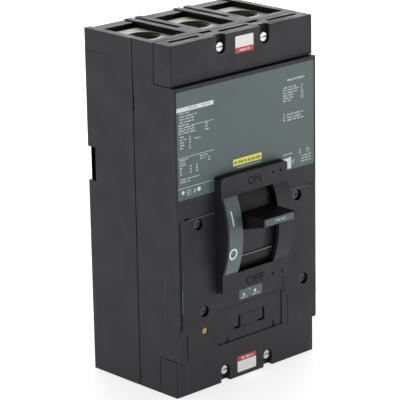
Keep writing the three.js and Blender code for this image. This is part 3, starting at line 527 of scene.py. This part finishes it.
LEFT_BLOCKS = (  # from the label's left edge
    (0.0030, 0.0884, (0.0105, 0.0180, 0.0150, 0.0150), 0.0022, 0.0012),
    (0.0018, 0.0796, (0.0110, 0.0170, 0.0160, 0.0176), 0.0021, 0.0013),
    (0.0030, 0.0706, (0.0040, 0.0066, 0.0038, 0.0060, 0.0040), 0.0022, 0.0012),
    (0.0124, 0.0696, (0.0020,) * 5, 0.0021, 0.0012),
    (0.0290, 0.0768, (0.0042, 0.0030, 0.0042), 0.0023, 0.0014),
    (0.0185, 0.0672, (0.0062,), 0.0020, 0.0012),
    (0.0022, 0.0526, (0.0085, 0.0060, 0.0078), 0.0020, 0.0012),
    (0.0232, 0.0524, (0.0080, 0.0060), 0.0021, 0.0012),
    (0.0314, 0.0500, (0.0024, 0.0022), 0.0021, 0.0013),
    (0.0026, 0.0464, (0.0022,) * 3, 0.0023, 0.0014),
    (0.0128, 0.0464, (0.0022,) * 3, 0.0023, 0.0014),
    (0.0191, 0.0464, (0.0022,) * 3, 0.0023, 0.0014),
    (0.0024, 0.0374, (0.0205, 0.0120), 0.0021, 0.0011),
    (0.0091, 0.0280, (0.0052, 0.0048, 0.0052), 0.0017, 0.0011),
    (0.0160, 0.0272, (0.0030, 0.0028), 0.0018, 0.0012),
)
RIGHT_COLUMN = 0.0384
RIGHT_BLOCKS = (  # from RIGHT_COLUMN
    (0.0050, 0.0940, (0.0190,), 0.0024, 0.0017),
    (0.0000, 0.0880, (0.0150, 0.0180, 0.0168, 0.0110, 0.0124, 0.0092), 0.0021, 0.0012),
    (0.0202, 0.0876, (0.0024,) * 6, 0.0021, 0.0012),
    (0.0002, 0.0668, (0.0022,) * 3, 0.0023, 0.0012),
    (0.0045, 0.0662, (0.0180, 0.0165, 0.0180), 0.0023, 0.0014),
    (-0.0002, 0.0341, (0.0110,), 0.0020, 0.0012),
    (0.0177, 0.0352, (0.0022, 0.0022), 0.0022, 0.0016),
    (0.0256, 0.0346, (0.0046, 0.0040), 0.0022, 0.0014),
    (0.0199, 0.0298, (0.0110, 0.0112, 0.0112), 0.0023, 0.0013),
    (0.0098, 0.0278, (0.0032, 0.0030), 0.0018, 0.0012),
)


def faceplate_print():
    """A title bar, three rules, two columns of rows and two discs."""
    rng = random.Random(7)
    face = label_low.y
    edge = label_low.x
    column_end = edge + 0.0380
    title = rectangle(edge + 0.0001, column_end, 0.0892, 0.0926)
    rules = [
        rectangle(edge + 0.0136, column_end, 0.0773, 0.0777),
        rectangle(edge + 0.0006, column_end, 0.0535, 0.0539),
        rectangle(edge + 0.0003, column_end - 0.0015, 0.0297, 0.0301),
    ]
    rows = stroke_blocks(edge, LEFT_BLOCKS, rng)
    rows += stroke_blocks(RIGHT_COLUMN, RIGHT_BLOCKS, rng)
    discs = [circle(edge + 0.0051, 0.0264, 0.0015), circle(edge + 0.0216, 0.0262, 0.0018)]
    printed("faceplate_title_bar", [title], face, "bright_print")
    printed("faceplate_rules", rules, face, "print")
    printed("faceplate_rows", rows, face, "print")
    printed("faceplate_discs", discs, face, "bright_print")
    title_base, title_height = 0.0903, 0.0014
    words = stroke_row(edge + 0.0125, edge + 0.0215, title_base, title_height, rng)
    words += stroke_row(edge + 0.0265, edge + 0.0345, title_base, title_height, rng)
    printed("faceplate_title_print", words, face - INK, "grey_print")


def yellow_tag():
    """A plain yellow tag above the escutcheon, with a disc, a row of strokes and a rule below it."""
    rng = random.Random(11)
    face = label_low.y
    left, right, low, high = -0.0164, 0.0144, 0.0357, 0.0412
    printed("yellow_tag", [rounded(left, right, low, high, 0.0004)], face, "tag")
    marks = [circle(left + 0.0026, (low + high) / 2, 0.0010)]
    marks += stroke_row(left + 0.0056, right - 0.0013, low + 0.0017, 0.0020, rng)
    printed("yellow_tag_print", marks, face - INK, "tag_print")
    underline = rectangle(left + 0.0042, right - 0.0004, low - 0.0020, low - 0.0012)
    printed("yellow_tag_underline", [underline], face, "print")


def corner_tag():
    """The pale tag that turns a corner, at the bottom of the label right of the escutcheon."""
    x, z = surround_high.x + 0.0012, label_low.z
    outline = [
        (x + 0.0054, z + 0.0010),
        (x + 0.0100, z + 0.0012),
        (x + 0.0100, z + 0.0102),
        (x, z + 0.0096),
        (x, z + 0.0090),
        (x + 0.0040, z + 0.0080),
        (x + 0.0051, z + 0.0056),
    ]
    printed("corner_tag", [outline], label_low.y, "bright_print")


# ---- Marks on the handle and its escutcheon ----

MARKS_LEFT = 0.0024  # how far the bar and the ring are left of the middle of their strip
WORD_WEIGHT = 0.018  # how much the strokes of the letters are thickened, in font sizes
WORD_LIFT = 0.00002  # the middle of the letters' thickness above the escutcheon


def grip_slant():
    """How far the grip leans up from straight out of the panel, at rest, in radians."""
    middle = (insert_low + insert_high) / 2
    return math.atan2(middle.z - handle_axis.z, handle_axis.y - middle.y)


def wrap_round_axis(piece, radius):
    """Bends a flat mark round the handle axis, onto a cheek or the apron of that radius."""
    for vertex in piece.data.vertices:
        reach = radius - vertex.co.y
        angle = (vertex.co.z - handle_axis.z) / radius
        vertex.co.y = handle_axis.y - reach * math.cos(angle)
        vertex.co.z = handle_axis.z + reach * math.sin(angle)


def apron_patch(name, x0, x1, angles, material, radius=APRON_RADIUS):
    """A thin sheet on the handle's curved apron; angles are from the middle of the grip, in degrees."""
    low, high = (handle_axis.z + radius * (grip_slant() + math.radians(angle)) for angle in angles)

    def build(shape):
        add_band(shape, [(x0, x1, z) for z in even_steps(low, high)])

    piece = finish_piece(name, mesh_from(name, build), material, "handle")
    wrap_round_axis(piece, radius)


def apron_painted_light():
    """Painted light on the apron: the lit part of the raised pad under the grip and of the step below it
    in the paler case plastic, ending on the right where the right cheek's shadow begins, and a painted
    highlight along the edge of the step.
    """
    left, right = APRON_PAD
    # painted light: the lit pad and step in paler plastic, then a painted highlight on the step's edge
    apron_patch("apron_pad_painted_light", left, right, (-17.4, -6.0), "case")
    apron_patch("apron_step_painted_light", left, right, (-21.7, -17.8), "case", APRON_RADIUS - APRON_STEP)
    apron_patch("apron_step_painted_highlight", left, -left, (-22.4, -22.05), "grey_print")


def position_marks():
    """The bar for on and the ring for off, on the strip of the left cheek."""
    radius = handle_axis.y - strip_low.y
    middle = (strip_low.x + strip_high.x) / 2 - MARKS_LEFT
    bar_low, bar_high, bar_half, bar_lean = -0.0063, 0.0055, 0.0007, -0.0008
    ring_outer, ring_inner, ring_height = (0.0042, 0.0047), (0.0029, 0.0033), -0.0290

    def build_bar(shape):
        leans = even_steps(-bar_lean / 2, bar_lean / 2)
        heights = even_steps(bar_low, bar_high)
        centres = [(middle + lean, height) for lean, height in zip(leans, heights)]
        add_band(shape, [(x - bar_half, x + bar_half, z) for x, z in centres])

    def build_ring(shape):
        add_ring(shape, (middle, ring_height), ring_outer, ring_inner, INK_ROOT, -INK)

    for name, build in (("on_bar_mark", build_bar), ("off_ring_mark", build_ring)):
        piece = finish_piece(name, mesh_from(name, build), "bright_print", "case")
        wrap_round_axis(piece, radius)


def position_word(name, word, middle, base, width, height):
    """A generic position word on the escutcheon, in dark print of the given size."""
    curve = bpy.data.curves.new(name, "FONT")
    curve.body = word
    curve.extrude = 0.5 * (INK + INK_ROOT)
    curve.offset = WORD_WEIGHT
    curve.align_x = "LEFT"
    text = bpy.data.objects.new(name + "_curve", curve)
    scene.collection.objects.link(text)
    bpy.context.view_layer.update()
    evaluated = text.evaluated_get(bpy.context.evaluated_depsgraph_get())
    mesh = bpy.data.meshes.new_from_object(evaluated)
    bpy.data.objects.remove(text)
    xs = [v.co.x for v in mesh.vertices]
    ys = [v.co.y for v in mesh.vertices]
    scale_x = width / (max(xs) - min(xs))
    scale_z = height / (max(ys) - min(ys))
    for vertex in mesh.vertices:
        x = middle - width / 2 + (vertex.co.x - min(xs)) * scale_x
        z = base + (vertex.co.y - min(ys)) * scale_z
        vertex.co = Vector((x, SURROUND_FACE - WORD_LIFT - vertex.co.z, z))
    finish_piece(name, mesh, "dark_print", "case")


def position_words():
    position_word("on_word", "ON", middle=-0.0002, base=0.0207, width=0.0143, height=0.0064)
    position_word("off_word", "OFF", middle=-0.0008, base=-0.0600, width=0.0198, height=0.0066)


def insert_print():
    """A few small strokes on the insert in the handle's tip."""
    rng = random.Random(13)
    left, right, height = -0.0042, 0.0062, 0.0016
    strokes = stroke_row(left, right, -height / 2, height, rng)
    slant = grip_slant()

    def build(shape):
        for outline in strokes:
            add_slab(shape, outline, INK_ROOT, -INK)

    mesh = mesh_from("insert_print", build)
    piece = finish_piece("insert_print", mesh, "print", "handle")
    for vertex in piece.data.vertices:
        along = HANDLE_REACH - vertex.co.y
        across = vertex.co.z
        vertex.co.y = handle_axis.y - along * math.cos(slant) + across * math.sin(slant)
        vertex.co.z = handle_axis.z + along * math.sin(slant) + across * math.cos(slant)


# ---- The small label under the handle, and the stickers on the end covers ----

TRIP_LABEL_SIDES = (-0.0114, 0.0138)
TRIP_LABEL_HEIGHT = 0.0082
STICKERS = {  # left, right, bottom, top, and whether the red band is along the bottom
    "line": (-0.0084, 0.0109, 0.1226, 0.1359, True),
    "load": (-0.0104, 0.0101, -0.1362, -0.1228, False),
}
STICKER_CORNER = 0.0008
STICKER_BAND = 0.0043


def trip_label():
    """The label between the escutcheon and the adjuster plate, with two discs and three rows."""
    rng = random.Random(3)
    middle = (surround_low.z + adjuster_high.z) / 2
    left, right = TRIP_LABEL_SIDES
    low, high = middle - TRIP_LABEL_HEIGHT / 2, middle + TRIP_LABEL_HEIGHT / 2
    printed("trip_label", [rounded(left, right, low, high, 0.0003)], COVER_FRONT, "label")
    marks = [circle(left + 0.0052, middle - 0.0004, 0.0012), circle(right - 0.0080, middle, 0.0014)]
    marks += stroke_row(left + 0.0020, left + 0.0094, low + 0.0008, 0.0011, rng)
    marks += stroke_row(right - 0.0106, right - 0.0028, low + 0.0010, 0.0011, rng)
    marks += stroke_row(left + 0.0110, left + 0.0136, high - 0.0018, 0.0010, rng)
    printed("trip_label_print", marks, COVER_FRONT - INK, "print")


def end_stickers():
    """A white sticker with a red band on each end cover."""
    rng = random.Random(5)
    for end, (left, right, low, high, band_below) in STICKERS.items():
        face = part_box(end + "_end_cover")[0].y
        printed(end + "_sticker", [rounded(left, right, low, high, STICKER_CORNER)], face, "sticker")
        band_low = low if band_below else high - STICKER_BAND
        red = rounded(left, right, band_low, band_low + STICKER_BAND, STICKER_CORNER)
        printed(end + "_sticker_band", [red], face - INK, "sticker_red")
        line = stroke_row(left + 0.0045, right - 0.0030, band_low + 0.0013, 0.0017, rng)
        printed(end + "_sticker_band_print", line, face - 2 * INK, "sticker")


# ---- Fasteners, notches, painted shade and painted edge highlights ----

REAR_SCREW_HEIGHTS = (-0.098, 0.020, 0.085)
REAR_SCREW_SIDE = 0.026  # from the middle plane
REAR_SCREW_FLOOR = -0.003  # bottom of the recess in the back
HEAD_RADIUS, HEAD_HEIGHT = 0.0036, 0.0018
SOCKET_HALF, SOCKET_DEPTH = 0.0016, 0.0010  # half the width across its flats
NOTCH_WIDTH, NOTCH_DEPTH = 0.0036, 0.0093  # notches in the sides, at the back
NOTCH_HEIGHTS = (0.0183, 0.0453)
NOTCH_MARGIN = 0.0003  # what the painted shade leaves free at the front and at the back
PAINTED_EDGE_LINE = 0.00022  # width of a pale line painted along a cover edge
SEAM_SHADE_WIDTH = 0.0003  # width of the painted shade in a seam


def hexagon_reach(angle):
    """From the middle of the socket to its wall, in the direction of angle."""
    from_flat = (angle + math.pi / 6) % (math.pi / 3) - math.pi / 6
    return SOCKET_HALF / math.cos(from_flat)


def add_socket_head(shape, x, z, floor, top):
    """A cylinder screw head that looks backwards (+Y), with a hexagonal socket."""
    sides = 36
    angles = [i * 2 * math.pi / sides for i in range(sides)]
    round_rim = [HEAD_RADIUS] * sides
    socket_rim = [hexagon_reach(angle) for angle in angles]
    bottom = top - SOCKET_DEPTH
    rings = []
    for rim, y in ((round_rim, floor), (round_rim, top), (socket_rim, top), (socket_rim, bottom)):
        points = [(x + r * math.cos(a), y, z + r * math.sin(a)) for r, a in zip(rim, angles)]
        rings.append([shape.verts.new(point) for point in points])
    for low, high in zip(rings, rings[1:]):
        join_rings(shape, low, high)
    shape.faces.new(rings[0])
    shape.faces.new(list(reversed(rings[-1])))


def rear_screws():
    """The six screws that hold the base to the cover, in their recesses in the back."""
    for row, z in enumerate(REAR_SCREW_HEIGHTS):
        for side, x in (("left", -REAR_SCREW_SIDE), ("right", REAR_SCREW_SIDE)):
            name = f"case_screw_{side}_{row + 1}"

            def build(shape, x=x, z=z):
                add_socket_head(shape, x, z, REAR_SCREW_FLOOR - INK_ROOT, REAR_SCREW_FLOOR + HEAD_HEIGHT)

            finish_piece(name, mesh_from(name, build), "steel", "case")


def notch_shades():
    """Painted shade: matt black sheets on the inner walls of the notches in the rear edges of both
    sides, where they lie in shadow.
    """
    wall = case_high.x - NOTCH_WIDTH
    low, high = NOTCH_HEIGHTS
    for side, direction in (("left", -1), ("right", 1)):
        left, right = sorted((direction * (wall + INK), direction * (wall - INK_ROOT)))

        def build(shape, outline=rectangle(left, right, low, high)):
            add_slab(shape, outline, -NOTCH_MARGIN, NOTCH_MARGIN - NOTCH_DEPTH)

        name = f"side_notch_painted_shade_{side}"
        finish_piece(name, mesh_from(name, build), "painted_shade_black", "case")


def painted_edge_highlights():
    """Painted highlights: pale lines along the top edges of both accessory covers and the lower left
    edge of the left one, where the moulded edges catch the light; above it a fainter pale line runs up
    the left edge.
    """
    left_low, left_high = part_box("left_accessory_cover")
    right_low, right_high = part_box("right_accessory_cover")
    top = left_high.z - 0.0003
    side = left_low.x + 0.0003
    # painted highlights along the top edges and the lower left edge
    left_lines = [
        rectangle(left_low.x + 0.0070, surround_low.x - 0.0010, top - PAINTED_EDGE_LINE, top),
        rectangle(side, side + PAINTED_EDGE_LINE, left_low.z + 0.0130, left_low.z + 0.0330),
    ]
    right_lines = [rectangle(surround_high.x + 0.0010, right_high.x - 0.0060, top - PAINTED_EDGE_LINE, top)]
    side = left_low.x + 0.0005
    rubbed = [rectangle(side, side + PAINTED_EDGE_LINE, left_low.z + 0.0340, left_high.z - 0.0030)]
    printed("left_cover_painted_highlight", left_lines, left_low.y, "grey_print")
    printed("right_cover_painted_highlight", right_lines, right_low.y, "grey_print")
    printed("left_cover_faint_edge_line", rubbed, left_low.y, "faint_edge_print")


def adjuster_seam_shade():
    """Painted shade in the seam along the left and the top of the adjuster plate."""
    low, high = adjuster_low, adjuster_high
    lines = [
        rectangle(low.x, low.x + SEAM_SHADE_WIDTH, low.z, high.z - SEAM_SHADE_WIDTH),
        rectangle(low.x, high.x, high.z - SEAM_SHADE_WIDTH, high.z),
    ]
    printed("adjuster_seam_painted_shade", lines, low.y, "dark_print")


# ---- Stage ----

VIEW_AZIMUTH, VIEW_ELEVATION, VIEW_ROLL = -43.06, 17.04, -1.03  # degrees
VIEW_TARGET = Vector((-0.00381, -0.050, -0.00446))
VIEW_DISTANCE = 1.77616
LENS, SENSOR = 201.87, 36  # millimetres


def camera_basis():
    """Right, up and back of the camera."""
    angles = (VIEW_AZIMUTH, VIEW_ELEVATION, VIEW_ROLL)
    azimuth, elevation, roll = (math.radians(angle) for angle in angles)
    flat = math.cos(elevation)
    back = Vector((flat * math.sin(azimuth), -flat * math.cos(azimuth), math.sin(elevation)))
    level = (-back).cross(Vector((0, 0, 1))).normalized()
    plumb = level.cross(-back)
    right = level * math.cos(roll) + plumb * math.sin(roll)
    up = -level * math.sin(roll) + plumb * math.cos(roll)
    return right, up, back


def make_camera():
    data = bpy.data.cameras.new("camera")
    data.sensor_width = SENSOR
    data.lens = LENS
    data.clip_start, data.clip_end = 0.05, 200
    camera = bpy.data.objects.new("camera", data)
    scene.collection.objects.link(camera)
    right, up, back = camera_basis()
    turned = Matrix((right, up, back)).transposed().to_4x4()
    camera.matrix_world = Matrix.Translation(VIEW_TARGET + back * VIEW_DISTANCE) @ turned
    scene.camera = camera


def make_world():
    """A white background, and light from a studio bright behind the object and dimmer before it."""
    near, far, dim, bright = -0.30, 0.80, 0.035, 1.0
    world = bpy.data.worlds.new("studio")
    scene.world = world
    world.use_nodes = True
    tree = world.node_tree
    tree.nodes.clear()
    away = -camera_basis()[2]
    away.z = 0
    away.normalize()
    place = tree.nodes.new("ShaderNodeTexCoord")
    dot = tree.nodes.new("ShaderNodeVectorMath")
    dot.operation = "DOT_PRODUCT"
    dot.inputs[1].default_value = away
    tree.links.new(place.outputs["Generated"], dot.inputs[0])
    level = tree.nodes.new("ShaderNodeMapRange")
    level.interpolation_type = "SMOOTHSTEP"
    for socket, value in zip(RANGE_SOCKETS, (near, far, dim, bright)):
        level.inputs[socket].default_value = value
    tree.links.new(dot.outputs["Value"], level.inputs["Value"])
    glow = tree.nodes.new("ShaderNodeBackground")
    seen = tree.nodes.new("ShaderNodeBackground")
    for background in (glow, seen):
        background.inputs["Color"].default_value = (1, 1, 1, 1)
    tree.links.new(level.outputs["Result"], glow.inputs["Strength"])
    ray = tree.nodes.new("ShaderNodeLightPath")
    mix = tree.nodes.new("ShaderNodeMixShader")
    out = tree.nodes.new("ShaderNodeOutputWorld")
    tree.links.new(ray.outputs["Is Camera Ray"], mix.inputs["Fac"])
    tree.links.new(glow.outputs["Background"], mix.inputs[1])
    tree.links.new(seen.outputs["Background"], mix.inputs[2])
    tree.links.new(mix.outputs["Shader"], out.inputs["Surface"])


def make_floor():
    """A pale floor that grows as white as the background away from the object, with no horizon line."""
    half, gap = 12.0, 0.0001
    near, far, near_glow, far_glow = 0.12, 0.7, 0.72, 1.0

    def build(shape):
        bmesh.ops.create_grid(shape, x_segments=2, y_segments=2, size=half)
        bmesh.ops.translate(shape, verts=shape.verts, vec=(0, 0, case_low.z - gap))

    floor = bpy.data.objects.new("floor", mesh_from("floor", build))
    scene.collection.objects.link(floor)
    m = Material("floor_paper", (0.92, 0.92, 0.92), 0.9)
    length = m.node("ShaderNodeVectorMath", operation="LENGTH")
    m.link(m.place, length.inputs[0])
    m.feed("Emission Strength", m.spread(length.outputs["Value"], near, far, near_glow, far_glow))
    m.shader.inputs["Emission Color"].default_value = (1, 1, 1, 1)
    m.shader.inputs["Specular IOR Level"].default_value = 0.1
    floor.data.materials.append(m.material)


LIGHTS = {  # place from the middle of the case, width and height, power in watts
    "key": ((1.5, -1.3, 0.1), (1.0, 1.2), 8),
    "rear_glance": ((1.2, 1.4, 0.7), (1.4, 0.8), 9),
    "left_fill": ((-1.6, 0.6, 0.0), (0.8, 1.4), 4),
}


def make_lights():
    """Soft area lights that all look at the middle of the case."""
    middle = (case_low + case_high) / 2
    for name, (offset, size, power) in LIGHTS.items():
        data = bpy.data.lights.new(name, "AREA")
        data.shape = "RECTANGLE"
        data.size, data.size_y = size
        data.energy = power
        light = bpy.data.objects.new(name, data)
        scene.collection.objects.link(light)
        light.location = middle + Vector(offset)
        light.rotation_mode = "QUATERNION"
        light.rotation_quaternion = Vector(offset).to_track_quat("Z", "Y")


make_camera()
scene.view_settings.view_transform = "Standard"
dress_cad_nodes()
faceplate_print()
yellow_tag()
corner_tag()
position_marks()
position_words()
insert_print()
apron_painted_light()
trip_label()
end_stickers()
rear_screws()
notch_shades()
painted_edge_highlights()
adjuster_seam_shade()
make_floor()
make_world()
make_lights()
